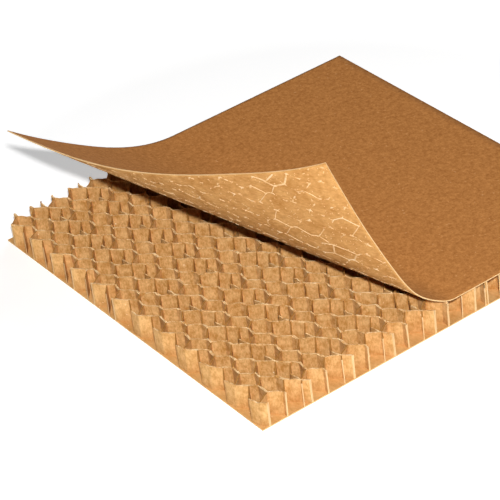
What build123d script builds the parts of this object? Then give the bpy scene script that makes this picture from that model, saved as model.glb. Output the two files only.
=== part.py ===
"""Paper honeycomb board: a square sample with its upper liner peeled back from the core.

Millimetres, +Z up. The origin is the centre of the underside. X runs across the core strips and Y along
them. Two kraft liners hold a core of zigzag paper strips that stand on edge. Each strip is glued to its
neighbours at the flats of its zigzag, and its edges are glued to the liners. Four strips of different
widths make a group, and the group repeats across the board, so every fourth cell is a wide one. Near its
left end the upper liner is peeled off the core and curls up in a cone, with its near corner highest.
"""
from build123d import *

import math
import os
from bisect import bisect
from dataclasses import dataclass

# The board as it was cut, and its papers
BOARD_LENGTH = 152.0
BOARD_WIDTH = 150.0
BOARD_THICKNESS = 10.0
LINER_THICKNESS = 0.4
CORE_PAPER = 0.3

# The core's zigzag: its period along Y, how far in from the left and front edges it starts, and how far
# its strips lean to the left as they run back, in degrees, because the sample wasn't sawn quite square
CELL_PITCH = 13.3
EDGE_MARGIN = 1.6
FIRST_FOLD = 1.9
STRIP_SLANT = 0.6

# The peel: where it starts at the front edge, how it slants to the back, and where the cone's tip lies
PEEL_FRONT = 80.0
PEEL_SLANT = 2.1
CONE_TIP_AHEAD = 31.0
CORNER_BLUNT = 1.0

# Turn of the peeled liner, in degrees for each degree of its fan of straight lines, along the fan
FAN_ANGLES = (0.0, 14.0, 30.0, 48.0, 67.0)
BEND_RATES = (4.1, 0.45, 2.2, 0.2, 2.0)

# Widest flat between two straight lines of the peeled liner: by its fan angle, and by how much it turns
FAN_STEP = 4.0
BEND_STEP = 4.8


@dataclass(frozen=True)
class Strip:
    """One paper strip of a group: its width in X, the run in Y of its falling walls, and its right flat."""

    width: float
    falling_run: float
    right_flat: float


GROUP = (
    Strip(width=4.9, falling_run=6.05, right_flat=4.25),
    Strip(width=3.3, falling_run=3.6, right_flat=2.9),
    Strip(width=3.8, falling_run=3.0, right_flat=3.0),
    Strip(width=4.7, falling_run=3.6, right_flat=0.0),
)

GROUP_WIDTH = sum(strip.width for strip in GROUP)
GROUP_COUNT = math.floor((BOARD_LENGTH - EDGE_MARGIN) / GROUP_WIDTH)
CORE_HEIGHT = BOARD_THICKNESS - 2 * LINER_THICKNESS
LEFT = -BOARD_LENGTH / 2
RIGHT = BOARD_LENGTH / 2
FRONT = -BOARD_WIDTH / 2
BACK = BOARD_WIDTH / 2


def normal_2d(start, end):
    """Unit vector to the left of the way from start to end."""
    run, rise = end[0] - start[0], end[1] - start[1]
    length = math.hypot(run, rise)
    return -rise / length, run / length


def mitre(before, corner, after):
    """Offset of a strip's left face from its centreline at a corner, for a paper of unit half thickness."""
    first, second = normal_2d(before, corner), normal_2d(corner, after)
    spread = 1 + first[0] * second[0] + first[1] * second[1]
    return (first[0] + second[0]) / spread, (first[1] + second[1]) / spread


def zigzag(strip, left_flat, left_x, phase):
    """Folds of a strip's centreline, from past the back edge to past the front one.

    The phase is how far behind the front edge one of the left flats starts.
    """
    half = CORE_PAPER / 2
    right_x = left_x + strip.width
    rising_run = CELL_PITCH - left_flat - strip.falling_run - strip.right_flat
    if not left_flat:
        left_tip = mitre((right_x, rising_run), (left_x, 0), (right_x, -strip.falling_run))
        left_x += half * (abs(left_tip[0]) - 1)
    if not strip.right_flat:
        right_tip = mitre((left_x, strip.falling_run), (right_x, 0), (left_x, -rising_run))
        right_x -= half * (abs(right_tip[0]) - 1)
    folds = []
    for period in range(math.ceil(BOARD_WIDTH / CELL_PITCH) + 1, -2, -1):
        y = FRONT + phase % CELL_PITCH + period * CELL_PITCH
        folds.append((left_x + half, y))
        if left_flat:
            folds.append((left_x + half, y - left_flat))
        y -= left_flat + strip.falling_run
        folds.append((right_x - half, y))
        if strip.right_flat:
            folds.append((right_x - half, y - strip.right_flat))
    return folds


def core_strip(strip, left_flat, left_x, phase):
    """A paper strip that stands on the lower liner, reaches the upper one, and is sawn off at the edges.

    It is laid out square to the board and then turned about the board's near left corner.
    """
    folds = zigzag(strip, left_flat, left_x, phase)
    left_face, right_face = [], []
    for before, fold, after in zip(folds, folds[1:], folds[2:]):
        across, along = mitre(before, fold, after)
        for side, face in ((1, left_face), (-1, right_face)):
            face.append((fold[0] + side * across * CORE_PAPER / 2, fold[1] + side * along * CORE_PAPER / 2))
    outline = Polyline(*left_face, *reversed(right_face), close=True)
    slant = Pos(LEFT, FRONT, 0) * Rot(0, 0, STRIP_SLANT) * Pos(-LEFT, -FRONT, 0)
    blank = Box(BOARD_LENGTH, BOARD_WIDTH, CORE_HEIGHT, align=(Align.CENTER, Align.CENTER, Align.MIN))
    return Pos(0, 0, LINER_THICKNESS) * ((slant * extrude(make_face(outline), CORE_HEIGHT)) & blank)


def core_strips():
    """Every strip of the core from left to right, each one starting where the last one's flats are."""
    strips = []
    left_x = LEFT + EDGE_MARGIN
    phase = FIRST_FOLD
    left_flat = 0.0
    for strip in GROUP * GROUP_COUNT:
        strips.append(core_strip(strip, left_flat, left_x, phase))
        left_x += strip.width
        phase -= left_flat + strip.falling_run
        left_flat = strip.right_flat
    return strips


def bottom_liner():
    """The flat lower liner."""
    return Pos(0, 0, LINER_THICKNESS / 2) * Box(BOARD_LENGTH, BOARD_WIDTH, LINER_THICKNESS)


def bend_rate(fan_angle):
    """Turn of the liner for each degree of its fan, between the values given above."""
    right = min(bisect(FAN_ANGLES, fan_angle), len(FAN_ANGLES) - 1)
    start, end = FAN_ANGLES[right - 1], FAN_ANGLES[right]
    share = (fan_angle - start) / (end - start)
    return BEND_RATES[right - 1] + share * (BEND_RATES[right] - BEND_RATES[right - 1])


def cone_tip():
    """The point in front of the board that all the straight lines of the peeled liner run from."""
    across = CONE_TIP_AHEAD * math.tan(math.radians(PEEL_SLANT))
    return Vector(LEFT + PEEL_FRONT + across, FRONT - CONE_TIP_AHEAD, BOARD_THICKNESS)


def fan_angle_of(x, y):
    """Fan angle of the straight line that runs through a point of the flat liner."""
    tip = cone_tip()
    return math.degrees(math.atan2(tip.X - x, y - tip.Y)) - PEEL_SLANT


def reach(fan_angle):
    """Where a line of the fan enters and leaves the liner, as lengths from the cone's tip."""
    tip = cone_tip()
    turn = math.radians(fan_angle + PEEL_SLANT)
    enter = (FRONT - tip.Y) / math.cos(turn)
    leave = min((BACK - tip.Y) / math.cos(turn), (tip.X - LEFT) / math.sin(turn))
    return enter, leave


def fan_angles():
    """Angles of the lines that the peeled liner is made from, with one through its far corner."""
    far_corner = fan_angle_of(LEFT, BACK)
    near_corner = fan_angle_of(LEFT, FRONT + CORNER_BLUNT)
    angles = [0.0]
    while angles[-1] < near_corner:
        corner = far_corner if angles[-1] < far_corner else near_corner
        step = min(FAN_STEP, BEND_STEP / bend_rate(angles[-1]))
        angle = angles[-1] + step
        angles.append(angle if angle < corner - step / 2 else corner)
    return angles


def fan_bends(angles):
    """Turn of the liner at each line, which takes in half of the flat before it and half of the next one.

    The first line stays straight, so that the liner meets its glued part face to face.
    """
    middles = [(before + after) / 2 for before, after in zip(angles, angles[1:])]
    ends = middles[1:]
    bends = [bend_rate((start + end) / 2) * (end - start) for start, end in zip([0.0] + ends, ends)]
    return [0.0] + bends + [0.0]


def curl_lines():
    """Ends of the liner's upper and lower line along each line of the fan, each one turned up a little more."""
    tip = cone_tip()
    turn = math.radians(PEEL_SLANT)
    along, normal = Vector(-math.sin(turn), math.cos(turn), 0), Vector(0, 0, 1)
    angles = fan_angles()
    lines = []
    for before, angle, bend in zip([0.0] + angles, angles, fan_bends(angles)):
        half_bend = bend / 2
        along = along.rotate(Axis((0, 0, 0), normal), angle - before)
        normal = normal.rotate(Axis((0, 0, 0), along), half_bend)
        enter, leave = reach(angle)
        inner, outer = tip + along * enter, tip + along * leave
        under = normal * (-LINER_THICKNESS / math.cos(math.radians(half_bend)))
        lines.append((inner, outer, inner + under, outer + under))
        normal = normal.rotate(Axis((0, 0, 0), along), half_bend)
    return lines


def facet(*corners):
    """A flat face through its corners."""
    return make_face(Polyline(*corners, close=True))


def curled_part(lines):
    """The peeled liner, flat between the lines of its fan. Its cut edges twist, so they are triangles."""
    faces = [facet(inner, outer, outer_under, inner_under)
             for inner, outer, inner_under, outer_under in (lines[0], lines[-1])]
    for near, far in zip(lines, lines[1:]):
        faces.append(facet(near[0], near[1], far[1], far[0]))
        faces.append(facet(near[2], near[3], far[3], far[2]))
        for end in (0, 1):
            faces.append(facet(near[end], far[end], far[end + 2]))
            faces.append(facet(near[end], far[end + 2], near[end + 2]))
    return Solid(Shell(faces))


def glued_part(peel_line):
    """The liner right of the peel, flat on the core."""
    front, back = peel_line[:2]
    outline = Polyline((front.X, FRONT), (RIGHT, FRONT), (RIGHT, BACK), (back.X, BACK), close=True)
    return Pos(0, 0, BOARD_THICKNESS - LINER_THICKNESS) * extrude(make_face(outline), LINER_THICKNESS)


def top_liner():
    """The upper liner: glued down right of the peel, and curled up left of it."""
    lines = curl_lines()
    return glued_part(lines[0]) + curled_part(lines)


def main():
    """Write one file for each piece."""
    os.makedirs("parts", exist_ok=True)
    export_step(bottom_liner(), "parts/bottom_liner.step")
    export_step(top_liner(), "parts/top_liner.step")
    for number, strip in enumerate(core_strips(), start=1):
        export_step(strip, f"parts/core_strip_{number:02d}.step")


main()
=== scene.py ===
"""Dresses the paper honeycomb board: its papers, its glue marks, and the light and camera of the photograph.

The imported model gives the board's place and size. Here its papers get their real surfaces: strips that are a
little bent and torn along the top, a liner that curls up in a smooth cone, and the glue on its underside.
Lengths are in metres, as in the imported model, and MM turns millimetres into them.
"""

import logging
import math
from dataclasses import dataclass, field
from enum import Enum, IntEnum
from functools import reduce
from typing import Any, Callable

import bpy
import numpy as np
from mathutils import Matrix, Vector


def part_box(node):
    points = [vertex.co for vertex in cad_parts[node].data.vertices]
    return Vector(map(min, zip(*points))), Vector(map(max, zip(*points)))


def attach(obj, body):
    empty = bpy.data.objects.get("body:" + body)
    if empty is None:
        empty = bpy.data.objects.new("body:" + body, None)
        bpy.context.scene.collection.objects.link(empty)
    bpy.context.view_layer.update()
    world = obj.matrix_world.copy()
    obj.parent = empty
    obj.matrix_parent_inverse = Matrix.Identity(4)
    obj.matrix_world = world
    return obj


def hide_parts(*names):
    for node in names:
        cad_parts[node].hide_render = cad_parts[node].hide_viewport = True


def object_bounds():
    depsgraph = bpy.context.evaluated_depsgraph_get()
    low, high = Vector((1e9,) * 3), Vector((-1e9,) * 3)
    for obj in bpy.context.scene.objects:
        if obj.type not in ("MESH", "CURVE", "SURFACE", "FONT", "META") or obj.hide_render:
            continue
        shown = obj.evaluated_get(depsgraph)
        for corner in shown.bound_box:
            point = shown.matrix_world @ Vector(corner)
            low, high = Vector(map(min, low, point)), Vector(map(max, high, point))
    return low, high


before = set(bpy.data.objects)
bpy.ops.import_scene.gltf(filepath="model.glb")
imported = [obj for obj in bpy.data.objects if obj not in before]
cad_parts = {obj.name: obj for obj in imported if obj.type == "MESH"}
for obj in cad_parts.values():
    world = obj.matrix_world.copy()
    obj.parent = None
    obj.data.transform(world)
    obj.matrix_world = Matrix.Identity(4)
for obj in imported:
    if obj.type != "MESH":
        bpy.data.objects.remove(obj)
CAD_LOW, CAD_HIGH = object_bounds()

LOG = logging.getLogger("honeycomb_board")
MM = 0.001
WHITE = "#FFFFFF"

# Seeds of the random draws, to which a strip's number is added. The core's own strips take their number alone
SLIT_SEED, DASH_SEED, DOT_SEED = 100, 500, 700

Tree, Socket = bpy.types.NodeTree, bpy.types.NodeSocket
Face = Callable[[np.ndarray, np.ndarray], np.ndarray]


class Slot(Enum):
    """The record's material slots."""

    LINER = "kraft_liner"
    CORE = "core_paper"


def linear(hex_colour: str) -> tuple[float, float, float, float]:
    """Turn an sRGB hex colour into the linear colour that a shader takes.

    Args:
        hex_colour: Six hex digits after a hash sign.

    Returns:
        Linear red, green, blue and an alpha of 1.
    """
    channels = [int(hex_colour[i:i + 2], 16) / 255 for i in (1, 3, 5)]
    values = [c / 12.92 if c <= 0.04045 else ((c + 0.055) / 1.055) ** 2.4 for c in channels]
    return values[0], values[1], values[2], 1.0


def add_node(tree: Tree, kind: str, inputs: dict[Any, Any], **settings: Any) -> bpy.types.Node:
    """Add a node, set its options and fill its inputs.

    Args:
        tree: The node tree that it goes into.
        kind: Blender's name of the node's type.
        inputs: For each input's name or number, a value or another node's output to link.
        settings: Options of the node itself.

    Returns:
        The new node.
    """
    node = tree.nodes.new(kind)
    for name, value in settings.items():
        setattr(node, name, value)
    for key, value in inputs.items():
        if isinstance(value, Socket):
            tree.links.new(value, node.inputs[key])
        else:
            node.inputs[key].default_value = value
    return node


def empty_tree(owner: bpy.types.Material | bpy.types.World) -> Tree:
    """Give a material or a world an empty node tree, and return it."""
    owner.use_nodes = True
    owner.node_tree.nodes.clear()
    return owner.node_tree


def mixed(tree: Tree, share: Any, first: Any, second: Any) -> Socket:
    """Mix two colours.

    Args:
        tree: The node tree.
        share: How much there is of the second colour, as a number or an output.
        first: A linear colour or an output.
        second: A linear colour or an output.

    Returns:
        The output with the mixed colour.
    """
    mix = add_node(tree, "ShaderNodeMix", {"Factor": share, "A": first, "B": second}, data_type="RGBA")
    return mix.outputs["Result"]


def ranged(tree: Tree, value: Socket, low: float, high: float, first: float = 0.0,
           last: float = 1.0) -> Socket:
    """Map a value from one range onto another one, and hold it at that one's ends.

    Args:
        tree: The node tree.
        value: The output with the value.
        low: The value that becomes first.
        high: The value that becomes last.
        first: Start of the new range.
        last: End of the new range.

    Returns:
        The output with the mapped value.
    """
    node = add_node(tree, "ShaderNodeMapRange", {
        "Value": value, "From Min": low, "From Max": high, "To Min": first, "To Max": last})
    return node.outputs["Result"]


def worked_out(tree: Tree, operation: str, *values: Any) -> Socket:
    """Work out one operation on numbers or outputs, and return the output with its result."""
    return add_node(tree, "ShaderNodeMath", dict(enumerate(values)), operation=operation).outputs["Value"]


def noise(tree: Tree, place: Socket, size_mm: float, detail: float, roughness: float = 0.5) -> Socket:
    """Return the output of a noise texture whose patches are about size_mm wide."""
    texture = add_node(tree, "ShaderNodeTexNoise", {
        "Vector": place, "Scale": 1 / (size_mm * MM), "Detail": detail, "Roughness": roughness})
    return texture.outputs["Fac"]


def seen_directly(tree: Tree) -> Socket:
    """Return an output that is 1 for the camera's own rays and for glossy ones, and 0 for all others."""
    ray = add_node(tree, "ShaderNodeLightPath", {})
    return worked_out(tree, "MAXIMUM", ray.outputs["Is Camera Ray"], ray.outputs["Is Glossy Ray"])


@dataclass(frozen=True)
class PaperFinish:
    """Kraft paper: pulp of mixed shades, pressed flat, with short fibres lying mostly one way.

    Light scatters in it, so it has hardly any gloss. Its colour wanders in soft clouds a few millimetres
    wide, and it carries fine fibres, dark specks of bark and light flecks of loose fibre.
    """

    name: str
    base: str
    dark: str
    light: str
    fleck: str = "#F6DDB4"
    cloud_mm: float = 5.0
    fibre_mm: float = 0.9
    fibre_stretch: tuple[float, float, float] = (1.0, 2.5, 1.0)
    noise_from: tuple[float, float] = (0.3, 0.7)
    speck_mm: float = 0.7
    speck_from: tuple[float, float] = (0.68, 0.74)
    speck_share: float = 0.3
    fleck_mm: float = 0.8
    fleck_from: float = 0.85
    fleck_fade: float = 0.04
    contrast: float = 1.0
    mottle: float = 0.5
    roughness: float = 0.9
    specular: float = 0.12
    bump_mm: float = 0.03
    bump_strength: float = 0.6
    # Painted light: a paler tone near the board's cut edges, standing in for the extra light on the open outer
    # walls.
    painted_edge_light: str = WHITE
    painted_edge_light_share: float = 0.0
    painted_edge_light_from_mm: tuple[float, float] = (70.0, 69.0)
    painted_edge_light_fade_mm: float = 2.5
    # Painted shade: darker towards the walls' foot, where little light reaches among them.
    shaded: str = "#000000"
    shaded_share: float = 0.0
    shaded_to_mm: float = 6.0

    def material(self) -> bpy.types.Material:
        """Build the node material and return it. It reads Object coordinates."""
        material = bpy.data.materials.new(self.name)
        tree = empty_tree(material)
        place = add_node(tree, "ShaderNodeTexCoord", {}).outputs["Object"]
        stretch = [1 / times for times in self.fibre_stretch]
        along = add_node(tree, "ShaderNodeMapping", {"Vector": place, "Scale": stretch}).outputs["Vector"]
        clouds = noise(tree, place, self.cloud_mm, detail=3.0, roughness=0.6)
        fibres = noise(tree, along, self.fibre_mm, detail=4.0, roughness=0.65)
        specks = noise(tree, place, self.speck_mm, detail=1.0)
        flecks = noise(tree, place, self.fleck_mm, detail=0.0)
        both = worked_out(tree, "ADD", *(ranged(tree, part, *self.noise_from) for part in (clouds, fibres)))
        spread = 1.0 / self.contrast
        shade = ranged(tree, both, 1.0 - spread, 1.0 + spread)
        pulp = mixed(tree, shade, linear(self.dark), linear(self.light))
        colour = mixed(tree, self.mottle, linear(self.base), pulp)
        speck_mask = ranged(tree, specks, *self.speck_from, last=self.speck_share)
        colour = mixed(tree, speck_mask, colour, linear(self.dark))
        fleck_mask = ranged(tree, flecks, self.fleck_from, self.fleck_from + self.fleck_fade)
        colour = mixed(tree, fleck_mask, colour, linear(self.fleck))
        # Painted light near the cut edges, then painted shade towards the walls' foot.
        colour = self._shaded(tree, place, self._painted_edge_light(tree, place, colour))
        bump = add_node(tree, "ShaderNodeBump", {
            "Strength": self.bump_strength, "Distance": self.bump_mm * MM, "Height": fibres})
        shader = add_node(tree, "ShaderNodeBsdfPrincipled", {
            "Base Color": colour, "Roughness": self.roughness, "Specular IOR Level": self.specular,
            "Normal": bump.outputs["Normal"]})
        add_node(tree, "ShaderNodeOutputMaterial", {"Surface": shader.outputs["BSDF"]})
        return material

    def _painted_edge_light(self, tree: Tree, place: Socket, colour: Socket) -> Socket:
        """Paint light onto the paper: a paler tone near the board's cut edges, where the open outer walls get
        more light.

        The mask grows with how far |X| or |Y|, whichever is more, lies past where the painted light starts.

        Args:
            tree: The material's node tree.
            place: Object coordinates.
            colour: The paper's colour.

        Returns:
            The colour with its painted light.
        """
        if not self.painted_edge_light_share:
            return colour
        axes = add_node(tree, "ShaderNodeSeparateXYZ", {0: place})
        past = []
        for axis, start in zip("XY", self.painted_edge_light_from_mm):
            away = worked_out(tree, "ABSOLUTE", axes.outputs[axis])
            past.append(worked_out(tree, "SUBTRACT", away, start * MM))
        most = worked_out(tree, "MAXIMUM", *past)
        mask = ranged(tree, most, 0.0, self.painted_edge_light_fade_mm * MM, last=self.painted_edge_light_share)
        return mixed(tree, mask, colour, linear(self.painted_edge_light))

    def _shaded(self, tree: Tree, place: Socket, colour: Socket) -> Socket:
        """Paint shade onto the paper: darker towards its foot, down among the walls where less light reaches.

        The mask falls from shaded_share at the board's underside, Z = 0, to nothing at shaded_to_mm.

        Args:
            tree: The material's node tree.
            place: Object coordinates.
            colour: The paper's colour.

        Returns:
            The colour with its painted shade at the foot.
        """
        if not self.shaded_share:
            return colour
        height = add_node(tree, "ShaderNodeSeparateXYZ", {0: place}).outputs["Z"]
        mask = ranged(tree, height, 0.0, self.shaded_to_mm * MM, first=self.shaded_share, last=0.0)
        return mixed(tree, mask, colour, linear(self.shaded))


class Paper(Enum):
    """The papers' finishes and the glue's."""

    OUTER_FACE = PaperFinish(
        "kraft_liner_outer_face", base="#B8763D", dark="#9D622D", light="#CB8B4C", fleck="#CC9560",
        cloud_mm=1.6, fibre_mm=0.6, fibre_stretch=(1.0, 1.3, 1.0), contrast=1.25, mottle=0.9,
        speck_share=0.35, fleck_from=0.82)
    INNER_FACE = PaperFinish(
        "kraft_liner_inner_face", base="#CA9050", dark="#B1793D", light="#DAA667",
        fleck="#E8C08A", cloud_mm=6.0, fibre_mm=0.9, contrast=1.5, mottle=0.85, fleck_from=0.75)
    GLUED_FACE = PaperFinish(
        "kraft_liner_glued_face", base="#D9A25C", dark="#BC8443", light="#EABF82",
        cloud_mm=6.0, fibre_mm=0.9, mottle=0.8)
    CUT_EDGE = PaperFinish(
        "kraft_cut_edge", base="#F2C88E", dark="#DDAA6C", light="#FCE0B2", fibre_mm=0.5)
    # Its paler tone near the cut edges is painted light, and its darker foot is painted shade.
    WALL = PaperFinish(
        "recycled_core_paper", base="#D9A35E", dark="#B87F3D", light="#ECBD80",
        cloud_mm=2.5, fibre_mm=0.55, fibre_stretch=(1.0, 1.0, 2.2), contrast=1.7, mottle=0.85,
        painted_edge_light="#F6C98C", painted_edge_light_share=0.15, shaded="#A9723A", shaded_share=0.4)
    WALL_EDGE = PaperFinish(
        "recycled_core_paper_torn_edge", base="#EABB7B", dark="#CE9856", light="#FFE2B0",
        cloud_mm=2.5, fibre_mm=0.6, contrast=2.6, mottle=0.9)
    # Painted shade: a darker upper edge for the walls that come back towards the left, which face away from
    # the key lamp.
    SHADED_EDGE = PaperFinish(
        "recycled_core_paper_shaded_edge", base="#B5803F", dark="#97642B", light="#C8924E",
        cloud_mm=2.5, fibre_mm=0.6)
    GLUE = PaperFinish(
        "dried_starch_glue", base="#E8BE88", dark="#D9A86C", light="#F6D8AC",
        cloud_mm=3.0, fibre_mm=0.6, contrast=2.0, mottle=0.9, roughness=0.7)


class Materials:
    """Makes each finish once and hands it out."""

    def __init__(self) -> None:
        """Start with no material made."""
        self._made: dict[Paper, bpy.types.Material] = {}

    def of(self, paper: Paper) -> bpy.types.Material:
        """Return the material of a finish, made on first use."""
        if paper not in self._made:
            self._made[paper] = paper.value.material()
        return self._made[paper]


def grid_quads(rows: int, columns: int, closed_columns: bool = False) -> np.ndarray:
    """List the quads of a grid of points that is stored row by row.

    Args:
        rows: Number of rows of points.
        columns: Number of points in a row.
        closed_columns: True if each row is a ring, so that its last point joins its first.

    Returns:
        An array of four point numbers for each quad.
    """
    row = np.arange(rows - 1)[:, None] * columns
    first = np.arange(columns if closed_columns else columns - 1)[None, :]
    second = (first + 1) % columns
    corners = (row + first, row + second, row + columns + second, row + columns + first)
    return np.stack(corners, axis=-1).reshape(-1, 4)


def wave_vectors(rng: np.random.Generator, lengths: np.ndarray) -> np.ndarray:
    """Draw a direction for each wave, and return its vector of 2 pi / length, one wave in each column."""
    angles = rng.uniform(0, 2 * np.pi, len(lengths))
    return 2 * np.pi / lengths * np.stack([np.cos(angles), np.sin(angles)])


def ways_and_normals(line: np.ndarray) -> tuple[np.ndarray, np.ndarray]:
    """Return the unit way along a line at each of its points, and the unit normal to the left of it."""
    ways = np.gradient(line, axis=0)
    ways /= np.linalg.norm(ways, axis=1)[:, None]
    return ways, np.stack([-ways[:, 1], ways[:, 0]], axis=1)


class WallPart(IntEnum):
    """Parts of a core strip's surface, numbered as Core.build lists their papers."""

    FACE = 0
    TORN_EDGE = 1
    # The upper edge of the walls that come back towards the left, darkened as painted shade.
    SHADED_TOP_EDGE = 2
    SAWN_END = 3


class SheetPart(IntEnum):
    """Parts of a liner's surface, numbered as Liners lists their papers."""

    UPPER_FACE = 0
    LOWER_FACE = 1
    CUT_EDGE = 2


@dataclass
class Surface:
    """Points, quads and each quad's finish, before they become a mesh."""

    points: np.ndarray
    quads: np.ndarray
    finish: np.ndarray

    def joined(self, other: "Surface") -> "Surface":
        """Return both surfaces as one."""
        quads = np.concatenate([self.quads, other.quads + len(self.points)])
        return Surface(np.concatenate([self.points, other.points]), quads,
                       np.concatenate([self.finish, other.finish]))


def make_piece(name: str, surface: Surface, papers: list[Paper], materials: Materials,
               replaced: list[str]) -> bpy.types.Object:
    """Turn a surface into a shown piece that rides on the board.

    Args:
        name: The piece's name.
        surface: Its points, quads and finishes.
        papers: The finishes that the surface's finish numbers stand for.
        materials: Where the materials come from.
        replaced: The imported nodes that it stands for.

    Returns:
        The new object.
    """
    mesh = bpy.data.meshes.new(name)
    mesh.from_pydata(surface.points.tolist(), [], surface.quads.tolist())
    for paper in papers:
        mesh.materials.append(materials.of(paper))
    mesh.polygons.foreach_set("material_index", surface.finish.astype(np.int32))
    mesh.validate()
    mesh.update()
    piece = bpy.data.objects.new(name, mesh)
    bpy.context.scene.collection.objects.link(piece)
    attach(piece, "root")
    if replaced:
        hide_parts(*replaced)
    LOG.info("%s: %d quads", name, len(surface.quads))
    return piece


@dataclass(frozen=True)
class Board:
    """The board's outer sizes and its papers' thicknesses. It stands on Z = 0, and the core on a liner."""

    left: float
    right: float
    front: float
    back: float
    liner: float
    core_high: float
    paper: float = 0.3 * MM

    @classmethod
    def packed(cls) -> "Board":
        """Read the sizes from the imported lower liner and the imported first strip."""
        low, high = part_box("bottom_liner")
        return cls(low.x, high.x, low.y, high.y, high.z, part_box("core_strip_01")[1].z)

    @property
    def length(self) -> float:
        """Size in X, across the strips."""
        return self.right - self.left

    @property
    def width(self) -> float:
        """Size in Y, along the strips."""
        return self.back - self.front

    @property
    def top(self) -> float:
        """Height of the glued liner's outer face."""
        return self.core_high + self.liner


@dataclass
class Warp:
    """Small bends of the core's papers, the same for papers that are glued together.

    The shift of a point is a sum of sine waves over X and Y, of random directions and phases. It grows from
    the lower liner to the torn upper edge, and it stops at the cut edges of the board.
    """

    board: Board
    seed: int = 7
    waves: int = 30
    shortest: float = 9.0 * MM
    longest: float = 26.0 * MM
    size: float = 0.2 * MM
    foot_share: float = 0.35
    rise_power: float = 1.5
    _vectors: np.ndarray = field(init=False)
    _phases: np.ndarray = field(init=False)
    _sizes: np.ndarray = field(init=False)

    def __post_init__(self) -> None:
        """Draw the waves."""
        rng = np.random.default_rng(self.seed)
        lengths = np.exp(rng.uniform(np.log(self.shortest), np.log(self.longest), self.waves))
        self._vectors = wave_vectors(rng, lengths)
        self._phases = rng.uniform(0, 2 * np.pi, (2, self.waves))
        self._sizes = self.size * np.sqrt(2 / self.waves) * np.sqrt(lengths / lengths.mean())

    def shifted(self, points: np.ndarray) -> np.ndarray:
        """Return the points with their papers' bends.

        Args:
            points: Points of the flat core, one in each row.

        Returns:
            The moved points, still inside the board's outline.
        """
        board = self.board
        angle = points[:, :2] @ self._vectors
        rise = np.clip((points[:, 2] - board.liner) / (board.core_high - board.liner), 0, 1)
        grow = self.foot_share + (1 - self.foot_share) * rise ** self.rise_power
        shift = np.stack([np.sin(angle + phase) @ self._sizes for phase in self._phases], axis=1)
        moved = points.copy()
        moved[:, :2] += shift * grow[:, None]
        moved[:, 0] = np.clip(moved[:, 0], board.left, board.right)
        moved[:, 1] = np.clip(moved[:, 1], board.front, board.back)
        return moved


def smooth_noise(points: np.ndarray, size: float, seed: int, waves: int = 24,
                 spread: tuple[float, float] = (0.7, 1.6), mean_square: float = 0.7) -> np.ndarray:
    """Noise over a plane: a sum of sine waves of about the same length, in random directions.

    The mean square of one sine wave is a half, so the sum is scaled by sqrt(2 * mean_square / waves).

    Args:
        points: X and Y, one point in each row.
        size: About the width of one patch of the noise, which is half a wave.
        seed: Picks the waves.
        waves: How many there are.
        spread: Shortest and longest wave, as shares of two patches.
        mean_square: The noise's own mean square.

    Returns:
        A value for each point, mostly between -1 and 1.
    """
    rng = np.random.default_rng(seed)
    vectors = wave_vectors(rng, 2 * size * rng.uniform(*spread, waves))
    phase = rng.uniform(0, 2 * np.pi, waves)
    return np.sin(points[:, :2] @ vectors + phase).sum(axis=1) * math.sqrt(2 * mean_square / waves)


@dataclass(frozen=True)
class StripShape:
    """One strip of a group: width in X, run in Y of its falling walls, right flat, and that flat's lean."""

    width: float
    falling_run: float
    right_flat: float
    lean: float


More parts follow.
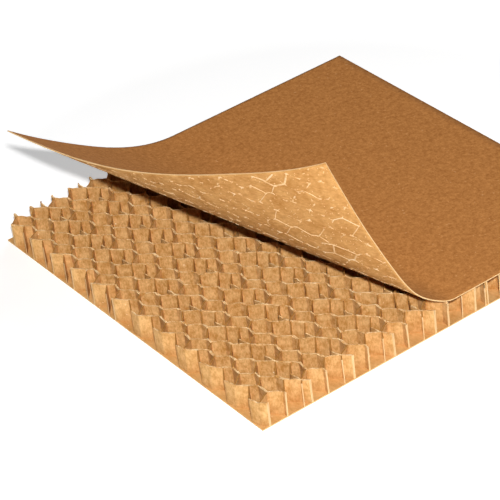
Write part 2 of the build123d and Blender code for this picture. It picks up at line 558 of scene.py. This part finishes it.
@dataclass
class Core:
    """The zigzag strips between the liners, in groups of four, and the fifth strip in each group.

    A strip's centreline falls from a left flat to a right flat and back again, once in each cell pitch. A
    fold without a flat of its own gets a short one, tip_flat long. The fifth strip lies along the front of
    the group's widest wall, leaves it at a slit and comes back at the next period, so it gives the wide wall
    two layers on its left part.
    """

    board: Board
    warp: Warp
    materials: Materials
    pitch: float = 13.3 * MM
    edge_margin: float = 1.6 * MM
    first_fold: float = 1.9 * MM
    strip_slant: float = 0.6
    drift_left: float = 1.1 * MM
    drift_forward: float = 4.0 * MM
    drift_start: float = 12.0 * MM
    group: tuple[StripShape, ...] = (
        StripShape(4.9 * MM, 6.05 * MM, 4.25 * MM, -0.5 * MM),
        StripShape(3.3 * MM, 3.6 * MM, 2.9 * MM, -0.2 * MM),
        StripShape(3.8 * MM, 3.0 * MM, 3.0 * MM, 0.5 * MM),
        StripShape(4.7 * MM, 3.6 * MM, 0.0, 0.0),
    )
    tip_flat: float = 0.5 * MM
    fold_setback: float = 0.25 * MM
    setback_share: float = 0.4
    fold_points: int = 4
    wall_points: int = 2
    end_clear: float = 0.1 * MM
    slit_across: float = 3.1 * MM
    slit_along: float = 3.75 * MM
    fifth_top: tuple[tuple[float, float], ...] = ((-0.8 * MM, 4.5 * MM),)
    first_top: tuple[tuple[float, float], ...] = ((-1.4 * MM, 4.1 * MM), (-1.4 * MM, 3.0 * MM))
    squeezed_most: float = 1.15 * MM
    squeezed_inset: float = 0.5 * MM
    torn_depth: float = 0.22 * MM
    torn_size: float = 1.1 * MM
    torn_middle: float = 0.5
    torn_most: float = 1.5
    crushed_width: float = 1.35
    # Walls whose way in X falls below this get the painted-shade upper edge.
    shaded_edge_way: float = -0.3
    side_rows: int = 5
    row_power: float = 0.8

    @property
    def group_width(self) -> float:
        """Width of one group of strips."""
        return sum(strip.width for strip in self.group)

    @property
    def groups(self) -> int:
        """Number of groups that go into the board."""
        return int((self.board.length - self.edge_margin) / self.group_width)

    def strip_lines(self) -> list[np.ndarray]:
        """Work out the folds of every strip, from past the back edge to past the front edge.

        Returns:
            For each strip an array of X and Y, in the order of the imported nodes.
        """
        lines = []
        left_x = self.board.left + self.edge_margin
        phase, left_flat, left_lean = self.first_fold, 0.0, 0.0
        for strip in self.group * self.groups:
            lines.append(self.laid(self._zigzag(strip, left_flat, left_lean, left_x, phase)))
            left_x += strip.width
            phase -= left_flat + strip.falling_run
            left_flat, left_lean = strip.right_flat, strip.lean
        return lines

    def laid(self, folds: np.ndarray) -> np.ndarray:
        """Turn folds to the strips' slant about the near left corner, and let them drift towards the back.

        The core was pulled out a little wider there, so a point moves forward with the square of its distance
        from the front edge, and left with that distance itself. The left cut edge holds the first strip.

        Args:
            folds: X and Y, laid out square to the board.

        Returns:
            X and Y on the board.
        """
        board = self.board
        turn = math.radians(self.strip_slant)
        across, along = folds[:, 0] - board.left, folds[:, 1] - board.front
        x = across * math.cos(turn) - along * math.sin(turn)
        y = across * math.sin(turn) + along * math.cos(turn)
        share = y / board.width
        x = x - self.drift_left * share * np.clip(x / self.drift_start, 0, 1)
        y = y - self.drift_forward * share * np.abs(share)
        return np.stack([board.left + x, board.front + y], axis=1)

    def _repeated(self, steps: list[tuple[float, float]], phase: float) -> np.ndarray:
        """Repeat one period's folds, from a period past the back edge to two past the front edge.

        Args:
            steps: X and Y of one period's folds, with Y counted from the period's start.
            phase: How far behind the front edge one of the periods starts.

        Returns:
            X and Y of all folds.
        """
        count = math.ceil(self.board.width / self.pitch)
        periods = self.board.front + phase % self.pitch + np.arange(count + 1, -3, -1) * self.pitch
        folds = np.tile(np.array(steps), (len(periods), 1))
        folds[:, 1] += np.repeat(periods, len(steps))
        return folds

    def _zigzag(self, strip: StripShape, left_flat: float, left_lean: float, left_x: float,
                phase: float) -> np.ndarray:
        """Work out one strip's folds: left flat, falling wall, right flat, in each period."""
        half, tip = self.board.paper / 2, self.tip_flat / 2
        right_x = left_x + strip.width - half
        drop = left_flat + strip.falling_run
        left_y = (0.0, -left_flat) if left_flat else (tip, -tip)
        right_y = (0.0, -strip.right_flat) if strip.right_flat else (tip, -tip)
        return self._repeated([
            (left_x + half - left_lean / 2, left_y[0]),
            (left_x + half + left_lean / 2, left_y[1]),
            (right_x - strip.lean / 2, right_y[0] - drop),
            (right_x + strip.lean / 2, right_y[1] - drop),
        ], phase)

    def fifth_lines(self) -> list[np.ndarray]:
        """Work out the folds of the fifth strips, one in each group.

        The left folds of the first one have a flat that the board's left edge presses in a little where it
        isn't far past that edge. Farther back the saw took those folds off.

        Returns:
            For each of them an array of X and Y.
        """
        drop = sum(strip.falling_run + strip.right_flat for strip in self.group)
        aside = self.board.paper / math.hypot(self.slit_across, self.slit_along)
        shift_x, shift_y = -self.slit_along * aside, -self.slit_across * aside
        slit = ((shift_x, shift_y), (self.slit_across + shift_x, -self.slit_along + shift_y))
        lines = []
        for number in range(self.groups):
            top = self.fifth_top if number else self.first_top
            folds = self._repeated([*top, *slit], self.first_fold - number * drop)
            folds[:, 0] += self.board.left + self.edge_margin + number * self.group_width
            line = self.laid(folds)
            inset = self.board.left + self.squeezed_inset - line[:, 0]
            line[:, 0] += np.where((inset > 0) & (inset < self.squeezed_most), inset, 0)
            lines.append(line)
        return lines

    def rounded(self, folds: np.ndarray) -> np.ndarray:
        """Round each fold and cut the line off at the board's front and back edges.

        A fold becomes a curve through two points on its walls and the fold itself as control point,
        (1 - t)^2 A + 2 t (1 - t) P + t^2 B, and each wall between two folds gets two points of its own.

        Args:
            folds: X and Y of the folds, Y falling.

        Returns:
            X and Y along the line, Y falling from the back edge to the front edge.
        """
        walls = np.diff(folds, axis=0)
        lengths = np.linalg.norm(walls, axis=1)
        ways = walls / lengths[:, None]
        shorter = np.minimum(lengths[:-1], lengths[1:])
        setback = np.minimum(self.fold_setback, self.setback_share * shorter)[:, None]
        start = folds[1:-1] - ways[:-1] * setback
        end = folds[1:-1] + ways[1:] * setback
        t = np.linspace(0, 1, self.fold_points)[None, :, None]
        curve = (1 - t) ** 2 * start[:, None] + 2 * t * (1 - t) * folds[1:-1, None] + t ** 2 * end[:, None]
        share = (np.arange(1, self.wall_points + 1) / (self.wall_points + 1))[None, :, None]
        wall = end[:-1, None] * (1 - share) + start[1:, None] * share
        line = np.concatenate([np.concatenate([curve[:-1], wall], axis=1).reshape(-1, 2), curve[-1]])
        back, front = self.board.back - self.end_clear, self.board.front + self.end_clear
        inside = line[(line[:, 1] < back) & (line[:, 1] > front)]
        edges = np.array([self.board.back, self.board.front])
        cut = np.stack([np.interp(edges, line[::-1, 1], line[::-1, 0]), edges], axis=1)
        return np.concatenate([cut[:1], inside, cut[1:]])

    def sawn(self, line: np.ndarray) -> list[np.ndarray]:
        """Cut off what a strip's line has left of the board, which opens its left folds.

        Args:
            line: X and Y along the strip.

        Returns:
            The lines that stay, with an end at the left edge wherever one was cut there.
        """
        left = self.board.left
        outside = line[:, 0] < left + self.board.paper / 2
        changes = np.flatnonzero(np.diff(outside)) + 1
        stays = []
        for part in np.split(np.arange(len(line)), changes):
            if outside[part[0]]:
                continue
            piece = line[part]
            if part[0] > 0:
                piece = np.concatenate([self._crossing(line[part[0] - 1], piece[0]), piece])
            if part[-1] < len(line) - 1:
                piece = np.concatenate([piece, self._crossing(line[part[-1] + 1], piece[-1])])
            stays.append(piece)
        return stays

    def _crossing(self, outer: np.ndarray, inner: np.ndarray) -> np.ndarray:
        """Return as one row the point where the way from outer to inner meets the left edge."""
        share = (self.board.left - inner[0]) / (outer[0] - inner[0])
        return np.array([[self.board.left, inner[1] + share * (outer[1] - inner[1])]])

    def wall_surface(self, line: np.ndarray, seed: int) -> Surface:
        """Stand a paper strip on its edge along a line.

        A ring of points goes up one face, over the torn upper edge and down the other face, and is carried
        along the line: a point is line + side * half paper * normal, at its own height. The saw pressed the
        upper edge a little wider than the paper.

        Args:
            line: X and Y along the strip.
            seed: Picks how its upper edge is torn.

        Returns:
            A closed surface with the parts of WallPart. The walls that come back towards the left get a darker
            upper edge, which is painted shade, and the others a torn one.
        """
        board = self.board
        ways, normals = ways_and_normals(line)
        up = np.linspace(0, 1, self.side_rows) ** self.row_power
        heights = np.concatenate([up, [1.0], up[::-1]])
        side = np.where(up < 1, 1.0, self.crushed_width)
        sides = np.concatenate([-side, [0.0], side[::-1]])
        ring = len(heights)
        plan = line[:, None] + normals[:, None] * (sides * board.paper / 2)[None, :, None]
        for place, edge in ((0, board.back), (-1, board.front)):
            axis, cut = (0, board.left) if line[place, 0] == board.left else (1, edge)
            slide = (cut - plan[place, :, axis]) / ways[place, axis]
            plan[place] += ways[place] * slide[:, None]
        ragged = self.torn_middle + smooth_noise(line, self.torn_size, seed)
        torn = self.torn_depth * np.clip(ragged, 0, self.torn_most)
        crown = board.core_high - torn
        z = board.liner + heights[None, :] * (crown - board.liner)[:, None]
        points = np.concatenate([plan, z[:, :, None]], axis=2).reshape(-1, 3)
        quads = grid_quads(len(line), ring, closed_columns=True)
        column = np.tile(np.arange(ring), len(line) - 1)
        # Painted shade on the upper edge of the walls that come back towards the left.
        shaded_walls = np.repeat(ways[:-1, 0] < self.shaded_edge_way, ring)
        upper_edge = np.isin(column, (self.side_rows - 1, self.side_rows))
        edge_part = np.where(shaded_walls, WallPart.SHADED_TOP_EDGE, WallPart.TORN_EDGE)
        finish = np.where(upper_edge, edge_part, WallPart.FACE)
        half = ring // 2
        low = np.arange(half)
        cap = np.stack([low, low + 1, ring - 2 - low, ring - 1 - low], axis=1)
        last = (len(line) - 1) * ring
        quads = np.concatenate([quads, cap[:-1], cap[:-1, ::-1] + last])
        finish = np.concatenate([finish, np.full(2 * (half - 1), WallPart.SAWN_END)])
        return Surface(self.warp.shifted(points), quads, finish)

    def build(self) -> None:
        """Make every strip, and the fifth strips as one piece for each group."""
        papers = [Paper.WALL, Paper.WALL_EDGE, Paper.SHADED_EDGE, Paper.CUT_EDGE]
        for number, folds in enumerate(self.strip_lines(), start=1):
            node = f"core_strip_{number:02d}"
            surface = self.wall_surface(self.rounded(folds), seed=number)
            make_piece(f"zigzag_strip_{number:02d}", surface, papers, self.materials, [node])
        for number, folds in enumerate(self.fifth_lines(), start=1):
            stays = self.sawn(self.rounded(folds))
            surface = reduce(Surface.joined, [self.wall_surface(line, SLIT_SEED + number) for line in stays])
            make_piece(f"slit_strip_{number:02d}", surface, papers, self.materials, [])


def turned(vector: np.ndarray, axis: np.ndarray, angle: float) -> np.ndarray:
    """Turn a vector about a unit axis, by the rule of Rodrigues, through an angle in radians."""
    return (vector * math.cos(angle) + np.cross(axis, vector) * math.sin(angle)
            + axis * np.dot(axis, vector) * (1 - math.cos(angle)))


@dataclass
class Curl:
    """The upper liner's form: flat right of the peel, and a cone of straight lines left of it.

    The straight lines fan out from a tip in front of the board. Going along the fan, a line turns about the
    liner's normal by the fan's own angle, and the normal turns about the line by the bend.
    """

    board: Board
    peel_front: float = 80.0 * MM
    peel_slant: float = 2.1
    tip_ahead: float = 31.0 * MM
    fan_angles: tuple[float, ...] = (0.0, 14.0, 30.0, 48.0, 67.0)
    bend_rates: tuple[float, ...] = (4.1, 0.45, 2.2, 0.2, 2.0)
    lowered_from: float = 64.0 * MM
    fan_lines: int = 280
    tip: np.ndarray = field(init=False)
    angles: np.ndarray = field(init=False)
    lines: np.ndarray = field(init=False)
    normals: np.ndarray = field(init=False)
    lowered_share: float = field(init=False)

    def __post_init__(self) -> None:
        """Work out the fan's lines, the liner's normals along them, and how much its top is lowered."""
        board = self.board
        across = self.tip_ahead * math.tan(math.radians(self.peel_slant))
        self.tip = np.array([board.left + self.peel_front + across, board.front - self.tip_ahead, board.top])
        corner = np.array([board.left]), np.array([board.front])
        self.angles = np.linspace(0.0, self._fan_angle(*corner)[0], self.fan_lines)
        step = self.angles[1]
        slant = math.radians(self.peel_slant)
        line, normal = np.array([-math.sin(slant), math.cos(slant), 0.0]), np.array([0.0, 0.0, 1.0])
        lines, normals = [line], [normal]
        for middle in self.angles[:-1] + step / 2:
            bend = np.interp(middle, self.fan_angles, self.bend_rates) * step
            normal = turned(normal, line, math.radians(bend / 2))
            line = turned(line, normal, math.radians(step))
            normal = turned(normal, line, math.radians(bend / 2))
            lines.append(line)
            normals.append(normal)
        self.lines, self.normals = np.array(lines), np.array(normals)
        reach = math.hypot(board.left - self.tip[0], board.front - self.tip[1])
        peak = self.tip[2] + reach * line[2] + max(0.0, -board.liner * normal[2])
        self.lowered_share = (peak - CAD_HIGH.z) / (peak - self.lowered_from)

    def _fan_angle(self, x: np.ndarray, y: np.ndarray) -> np.ndarray:
        """Return the fan angle of the straight line through each point of the flat liner, in degrees."""
        return np.degrees(np.arctan2(self.tip[0] - x, y - self.tip[1])) - self.peel_slant

    def place(self, x: np.ndarray, y: np.ndarray, depth: np.ndarray | float) -> np.ndarray:
        """Carry points of the flat liner to where the curl takes them.

        The point is tip + r * line(angle) - depth * normal(angle), with its polar place about the tip. The
        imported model's near corner is a little blunt. So the part of the sheet above lowered_from is lowered
        evenly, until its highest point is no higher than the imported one, and the corner stays sharp.

        Args:
            x: X on the flat liner.
            y: Y on the flat liner.
            depth: How far the point lies below the outer face.

        Returns:
            Points, one in each row.
        """
        angle = self._fan_angle(x, y)
        reach = np.hypot(x - self.tip[0], y - self.tip[1])
        line, normal = (np.stack([np.interp(angle, self.angles, part[:, i]) for i in range(3)], axis=1)
                        for part in (self.lines, self.normals))
        line /= np.linalg.norm(line, axis=1)[:, None]
        normal /= np.linalg.norm(normal, axis=1)[:, None]
        curled = self.tip + reach[:, None] * line
        flat = np.stack([x, y, np.full_like(x, self.board.top)], axis=1)
        points = np.where(angle[:, None] > 0, curled, flat) - np.reshape(depth, (-1, 1)) * normal
        points[:, 2] -= self.lowered_share * np.maximum(points[:, 2] - self.lowered_from, 0)
        return np.clip(points, CAD_LOW, CAD_HIGH)

    def peel_line(self, y: np.ndarray) -> np.ndarray:
        """Return the X at which the peel starts, for each Y."""
        return self.tip[0] - (y - self.tip[1]) * math.tan(math.radians(self.peel_slant))


def sheet_surface(xs: np.ndarray, ys: np.ndarray, upper: Face, lower: Face) -> Surface:
    """Make a sheet of paper between two surfaces over the same grid, closed along its cut edges.

    Args:
        xs: X of the grid on the flat sheet.
        ys: Y of the grid on the flat sheet.
        upper: Gives the upper face's points from X and Y.
        lower: Gives the lower face's points from X and Y.

    Returns:
        The closed surface, with the parts of SheetPart.
    """
    grid_x, grid_y = (values.ravel() for values in np.meshgrid(xs, ys))
    points = np.concatenate([upper(grid_x, grid_y), lower(grid_x, grid_y)])
    face = grid_quads(len(ys), len(xs))
    count = len(grid_x)
    numbers = np.arange(count).reshape(len(ys), len(xs))
    rim = np.concatenate([numbers[0], numbers[1:, -1], numbers[-1, -2::-1], numbers[-2:0:-1, 0]])
    following = np.roll(rim, -1)
    edge = np.stack([rim, rim + count, following + count, following], axis=1)
    quads = np.concatenate([face, face[:, ::-1] + count, edge])
    finish = np.repeat(list(SheetPart), [len(face), len(face), len(edge)])
    return Surface(points, quads, finish)


@dataclass(frozen=True)
class WholeMark:
    """Glue that came off whole: its strip, the ends of its run in Y, and its share of the usual width."""

    strip: int
    low_mm: float
    high_mm: float
    share: float


@dataclass
class Liners:
    """The two kraft liners, and the glue that the peeled one took along.

    Most of the glue stayed as dots at the folds and as short dashes, whose width follows noise along the
    strip's line: dash_gain * noise - dash_loss.
    """

    board: Board
    curl: Curl
    core: Core
    materials: Materials
    cell: float = 1.1 * MM
    lower_points: int = 40
    glued_columns: int = 24
    mark_width: float = 0.42 * MM
    mark_height: float = 0.1 * MM
    mark_step: float = 0.3 * MM
    mark_clear: float = 1.0 * MM
    widest_share: float = 1.5
    dash_size: float = 1.6 * MM
    dash_gain: float = 1.2
    dash_loss: float = 1.0
    dot_size: float = 2.0 * MM
    dot_reach: float = 0.45 * MM
    dot_plateau: float = 1.7
    dot_share: float = 1.3
    dot_kept: float = 0.6
    whole_marks: tuple[WholeMark, ...] = tuple(WholeMark(*row) for row in (
        (1, -59.6, -50.0, 1.5), (2, -52.7, -43.4, 0.7), (3, -47.1, -42.7, 0.6), (3, -66.0, -63.2, 0.6),
        (5, -46.4, -43.2, 0.7), (5, -69.6, -65.4, 0.8), (6, -46.8, -43.2, 0.8), (6, -73.2, -69.6, 0.8),
        (7, -46.8, -42.5, 0.7), (7, -59.9, -49.3, 0.8), (7, -73.2, -68.9, 0.7), (8, -45.7, -42.5, 0.7),
        (8, -57.5, -56.0, 1.0), (9, -65.1, -56.0, 1.3), (9, -56.0, -52.0, 0.7), (10, -65.1, -56.0, 1.4),
        (37, -56.0, -48.0, 1.3)))

    def build_lower(self) -> None:
        """Make the flat lower liner."""
        board = self.board
        xs = np.linspace(board.left, board.right, self.lower_points)
        ys = np.linspace(board.front, board.back, self.lower_points)
        surface = sheet_surface(
            xs, ys, lambda x, y: np.stack([x, y, np.full_like(x, board.liner)], axis=1),
            lambda x, y: np.stack([x, y, np.zeros_like(x)], axis=1))
        papers = [Paper.GLUED_FACE, Paper.OUTER_FACE, Paper.CUT_EDGE]
        make_piece("lower_liner", surface, papers, self.materials, ["bottom_liner"])

    def build_upper(self) -> None:
        """Make the upper liner, glued down on the right and curled up on the left."""
        board, curl = self.board, self.curl
        peel = board.left + curl.peel_front
        curled = np.linspace(board.left, peel, round(curl.peel_front / self.cell))
        xs = np.concatenate([curled, np.linspace(peel, board.right, self.glued_columns)[1:]])
        ys = np.linspace(board.front, board.back, round(board.width / self.cell))
        surface = sheet_surface(
            xs, ys, lambda x, y: curl.place(x, y, 0.0), lambda x, y: curl.place(x, y, board.liner))
        papers = [Paper.OUTER_FACE, Paper.INNER_FACE, Paper.CUT_EDGE]
        piece = make_piece("curled_liner", surface, papers, self.materials, ["top_liner"])
        piece.data.polygons.foreach_set("use_smooth", surface.finish < SheetPart.CUT_EDGE)

    def _mark_widths(self, line: np.ndarray, folds: np.ndarray, number: int) -> np.ndarray:
        """Work out how wide the glue is along a strip's line.

        Args:
            line: X and Y along the strip.
            folds: X and Y of the strip's folds.
            number: The strip's number.

        Returns:
            The width at each point of the line, 0 where no glue came off.
        """
        share = self.dash_gain * smooth_noise(line, self.dash_size, DASH_SEED + number) - self.dash_loss
        fold_away = np.linalg.norm(line[:, None] - folds, axis=2).min(axis=1)
        dot = np.clip(self.dot_plateau - fold_away / self.dot_reach, 0, 1)
        kept = np.clip(self.dot_kept + smooth_noise(line, self.dot_size, DOT_SEED + number), 0, 1)
        share = np.maximum(share, self.dot_share * dot * kept)
        for mark in self.whole_marks:
            if mark.strip == number:
                share[(line[:, 1] > mark.low_mm * MM) & (line[:, 1] < mark.high_mm * MM)] = mark.share
        shown = (
            (line[:, 0] < self.curl.peel_line(line[:, 1]) - self.mark_clear)
            & (line[:, 0] > self.board.left + self.mark_clear)
            & (np.abs(line[:, 1]) < self.board.back - self.mark_clear))
        return self.mark_width * np.clip(share, 0, self.widest_share) * shown

    def glue_mark(self, folds: np.ndarray, number: int) -> Surface:
        """Lay the glue that one strip left on the liner's inner face, as a low ridge that comes and goes.

        Args:
            folds: X and Y of the strip's folds.
            number: The strip's number, which also picks where the dots and dashes are.

        Returns:
            The ridges as one surface, all of part 0.
        """
        line = self.core.rounded(folds)
        run = np.concatenate([[0.0], np.cumsum(np.linalg.norm(np.diff(line, axis=0), axis=1))])
        even = np.arange(0.0, run[-1], self.mark_step)
        line = np.stack([np.interp(even, run, line[:, i]) for i in range(2)], axis=1)
        heights = np.full((len(line), 1), self.board.core_high)
        line = self.core.warp.shifted(np.concatenate([line, heights], axis=1))[:, :2]
        normals = ways_and_normals(line)[1]
        width = self._mark_widths(line, folds, number)
        sides = np.array([-0.5, 0.0, 0.5, 0.0])
        depth = self.board.liner + np.array([0.0, self.mark_height, 0.0, -self.mark_height])
        plan = line[:, None] + normals[:, None] * (width[:, None] * sides)[:, :, None]
        depths = np.tile(depth, len(line))
        points = self.curl.place(plan[:, :, 0].ravel(), plan[:, :, 1].ravel(), depths)
        quads = grid_quads(len(line), len(sides), closed_columns=True)
        shown = np.repeat((width[:-1] > 0) | (width[1:] > 0), len(sides))
        return Surface(points, quads[shown], np.zeros(int(shown.sum()), int))

    def build_glue(self) -> None:
        """Make the glue marks on the peeled liner."""
        lines = self.core.strip_lines() + self.core.fifth_lines()
        marks = [self.glue_mark(folds, number) for number, folds in enumerate(lines, start=1)
                 if folds[:, 0].min() < self.curl.tip[0]]
        surface = reduce(Surface.joined, marks)
        make_piece("glue_marks", surface, [Paper.GLUE], self.materials, [])


@dataclass(frozen=True)
class Lamp:
    """A round lamp that faces the board. Its azimuth goes from the front (-Y) towards the left (-X)."""

    name: str
    azimuth: float
    elevation: float
    distance: float
    width: float
    irradiance: float

    def build(self) -> None:
        """Add the lamp to the scene, with the power that gives its irradiance on the board's middle."""
        turn, rise = math.radians(self.azimuth), math.radians(self.elevation)
        source = Vector((-math.sin(turn) * math.cos(rise), -math.cos(turn) * math.cos(rise), math.sin(rise)))
        data = bpy.data.lights.new(self.name, "AREA")
        data.shape = "DISK"
        data.size = self.width
        data.energy = self.irradiance * math.pi * self.distance ** 2
        lamp = bpy.data.objects.new(self.name, data)
        lamp.location = source * self.distance
        lamp.rotation_mode = "QUATERNION"
        lamp.rotation_quaternion = source.to_track_quat("Z", "Y")
        bpy.context.scene.collection.objects.link(lamp)


@dataclass
class Studio:
    """A white floor and surround, a small lamp just above the camera, and a large soft one at the right."""

    floor_half: float = 1.5
    floor_drop: float = 0.02 * MM
    surround: float = 0.05
    floor_glow: tuple[float, float] = (0.28, 0.6)
    floor_glow_reach: tuple[float, float] = (0.13, 0.2)
    lamps: tuple[Lamp, ...] = (
        Lamp("key_light", azimuth=33.0, elevation=38.0, distance=0.87, width=0.03, irradiance=3.2),
        Lamp("side_light", azimuth=252.0, elevation=36.0, distance=2.0, width=1.3, irradiance=1.05),
    )

    def build(self) -> None:
        """Make the floor, the world and the lamps."""
        self._floor()
        self._world()
        for lamp in self.lamps:
            lamp.build()

    def _floor(self) -> None:
        """Make a white floor that the camera sees at full white, apart from the object's shadow.

        Its glow grows with the distance from the board, as the lamps' light on it falls off.
        """
        corners = np.array([(-1, -1, 0), (1, -1, 0), (1, 1, 0), (-1, 1, 0)]) * self.floor_half
        corners[:, 2] = -self.floor_drop
        mesh = bpy.data.meshes.new("studio_floor")
        mesh.from_pydata(corners.tolist(), [], [(0, 1, 2, 3)])
        floor = bpy.data.objects.new("studio_floor", mesh)
        bpy.context.scene.collection.objects.link(floor)
        material = bpy.data.materials.new("matte_white_floor")
        tree = empty_tree(material)
        matte = add_node(tree, "ShaderNodeBsdfDiffuse", {"Color": linear(WHITE)})
        place = add_node(tree, "ShaderNodeTexCoord", {}).outputs["Object"]
        away = add_node(tree, "ShaderNodeVectorMath", {0: place}, operation="LENGTH").outputs["Value"]
        grown = ranged(tree, away, *self.floor_glow_reach, *self.floor_glow)
        glow = worked_out(tree, "MULTIPLY", seen_directly(tree), grown)
        white = add_node(tree, "ShaderNodeEmission", {"Color": linear(WHITE), "Strength": glow})
        both = add_node(tree, "ShaderNodeAddShader", {0: matte.outputs["BSDF"], 1: white.outputs["Emission"]})
        add_node(tree, "ShaderNodeOutputMaterial", {"Surface": both.outputs["Shader"]})
        mesh.materials.append(material)

    def _world(self) -> None:
        """Light the board evenly from all round, and show white behind it."""
        world = bpy.data.worlds.new("white_surround")
        bpy.context.scene.world = world
        tree = empty_tree(world)
        strength = ranged(tree, seen_directly(tree), 0.0, 1.0, first=self.surround)
        back = add_node(tree, "ShaderNodeBackground", {"Color": linear(WHITE), "Strength": strength})
        add_node(tree, "ShaderNodeOutputWorld", {"Surface": back.outputs["Background"]})


@dataclass(frozen=True)
class PhotoCamera:
    """The photograph's camera: where it stands, how it is turned, and its focal length on a 36 mm sensor."""

    place: tuple[float, float, float] = (-0.4004, -0.5846, 0.4779)
    azimuth: float = 32.793
    pitch: float = 34.144
    roll: float = -7.403
    focal_px: float = 2466.2
    frame_px: float = 500.0
    sensor_mm: float = 36.0
    clip: tuple[float, float] = (0.05, 10.0)

    def build(self) -> None:
        """Make the camera and give it to the scene."""
        turn, down, tilt = (math.radians(a) for a in (self.azimuth, self.pitch, self.roll))
        ahead = Vector((math.sin(turn) * math.cos(down), math.cos(turn) * math.cos(down), -math.sin(down)))
        level = Vector((math.cos(turn), -math.sin(turn), 0.0))
        upright = level.cross(ahead)
        right = level * math.cos(tilt) + upright * math.sin(tilt)
        up = right.cross(ahead)
        data = bpy.data.cameras.new("photo_camera")
        data.sensor_width = self.sensor_mm
        data.lens = self.sensor_mm * self.focal_px / self.frame_px
        data.clip_start, data.clip_end = self.clip
        camera = bpy.data.objects.new("photo_camera", data)
        axes = Matrix((right, up, -ahead)).transposed()
        camera.matrix_world = Matrix.Translation(self.place) @ axes.to_4x4()
        bpy.context.scene.collection.objects.link(camera)
        bpy.context.scene.camera = camera


def main() -> None:
    """Dress the board, then add the studio and the camera."""
    logging.basicConfig(level=logging.INFO, format="%(name)s %(message)s")
    materials = Materials()
    board = Board.packed()
    core = Core(board, Warp(board), materials)
    core.build()
    liners = Liners(board, Curl(board), core, materials)
    liners.build_lower()
    liners.build_upper()
    liners.build_glue()
    Studio().build()
    PhotoCamera().build()
    bpy.context.scene.view_settings.view_transform = "Standard"


if __name__ == "__main__":
    main()
